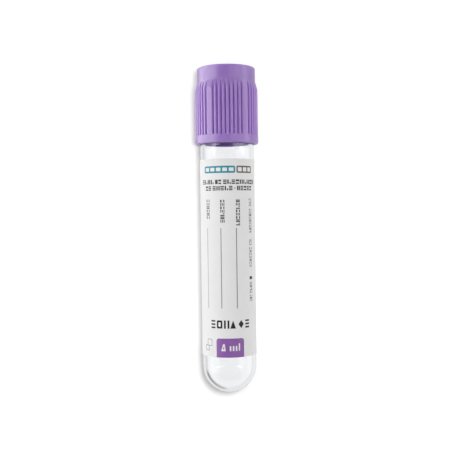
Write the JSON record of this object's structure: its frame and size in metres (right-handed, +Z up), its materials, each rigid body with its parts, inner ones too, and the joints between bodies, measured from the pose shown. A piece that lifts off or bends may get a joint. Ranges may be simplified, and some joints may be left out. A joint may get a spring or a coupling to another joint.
{
  "type": "blood collection tube",
  "caption": "Round-bottomed glass sample tube with a ribbed shield cap over a rubber stopper, and a label round the glass.",
  "frame": {"origin": "middle of the footprint of the lying tube, on the surface that it lies on", "axes": "+Y along the tube from its round end towards the cap, +Z up, +X to the right seen from above with the cap away from the viewer; the tube's own axis rises 1.22 degrees towards the cap because the cap's rim is wider than the glass"},
  "size_m": [0.0154, 0.079, 0.0155],
  "materials": {
    "glass": "clear, fire-polished, colourless",
    "stopper_rubber": "matt moulded butyl rubber",
    "cap_plastic": "glossy moulded polyethylene, lavender",
    "label_paper": "matt white self-adhesive paper, printed with plain bars, lines and a purple block"
  },
  "bodies": {
    "tube": {"glass_tube": "glass", "label": "label_paper"},
    "closure": {"cap_shield": "cap_plastic", "rubber_stopper": "stopper_rubber"}
  },
  "joints": [
    {"name": "closure_pull", "type": "slide", "parent": "tube", "child": "closure", "axis": [0, 0.9998, 0.0214], "range_m": [0, 0.03]}
  ]
}
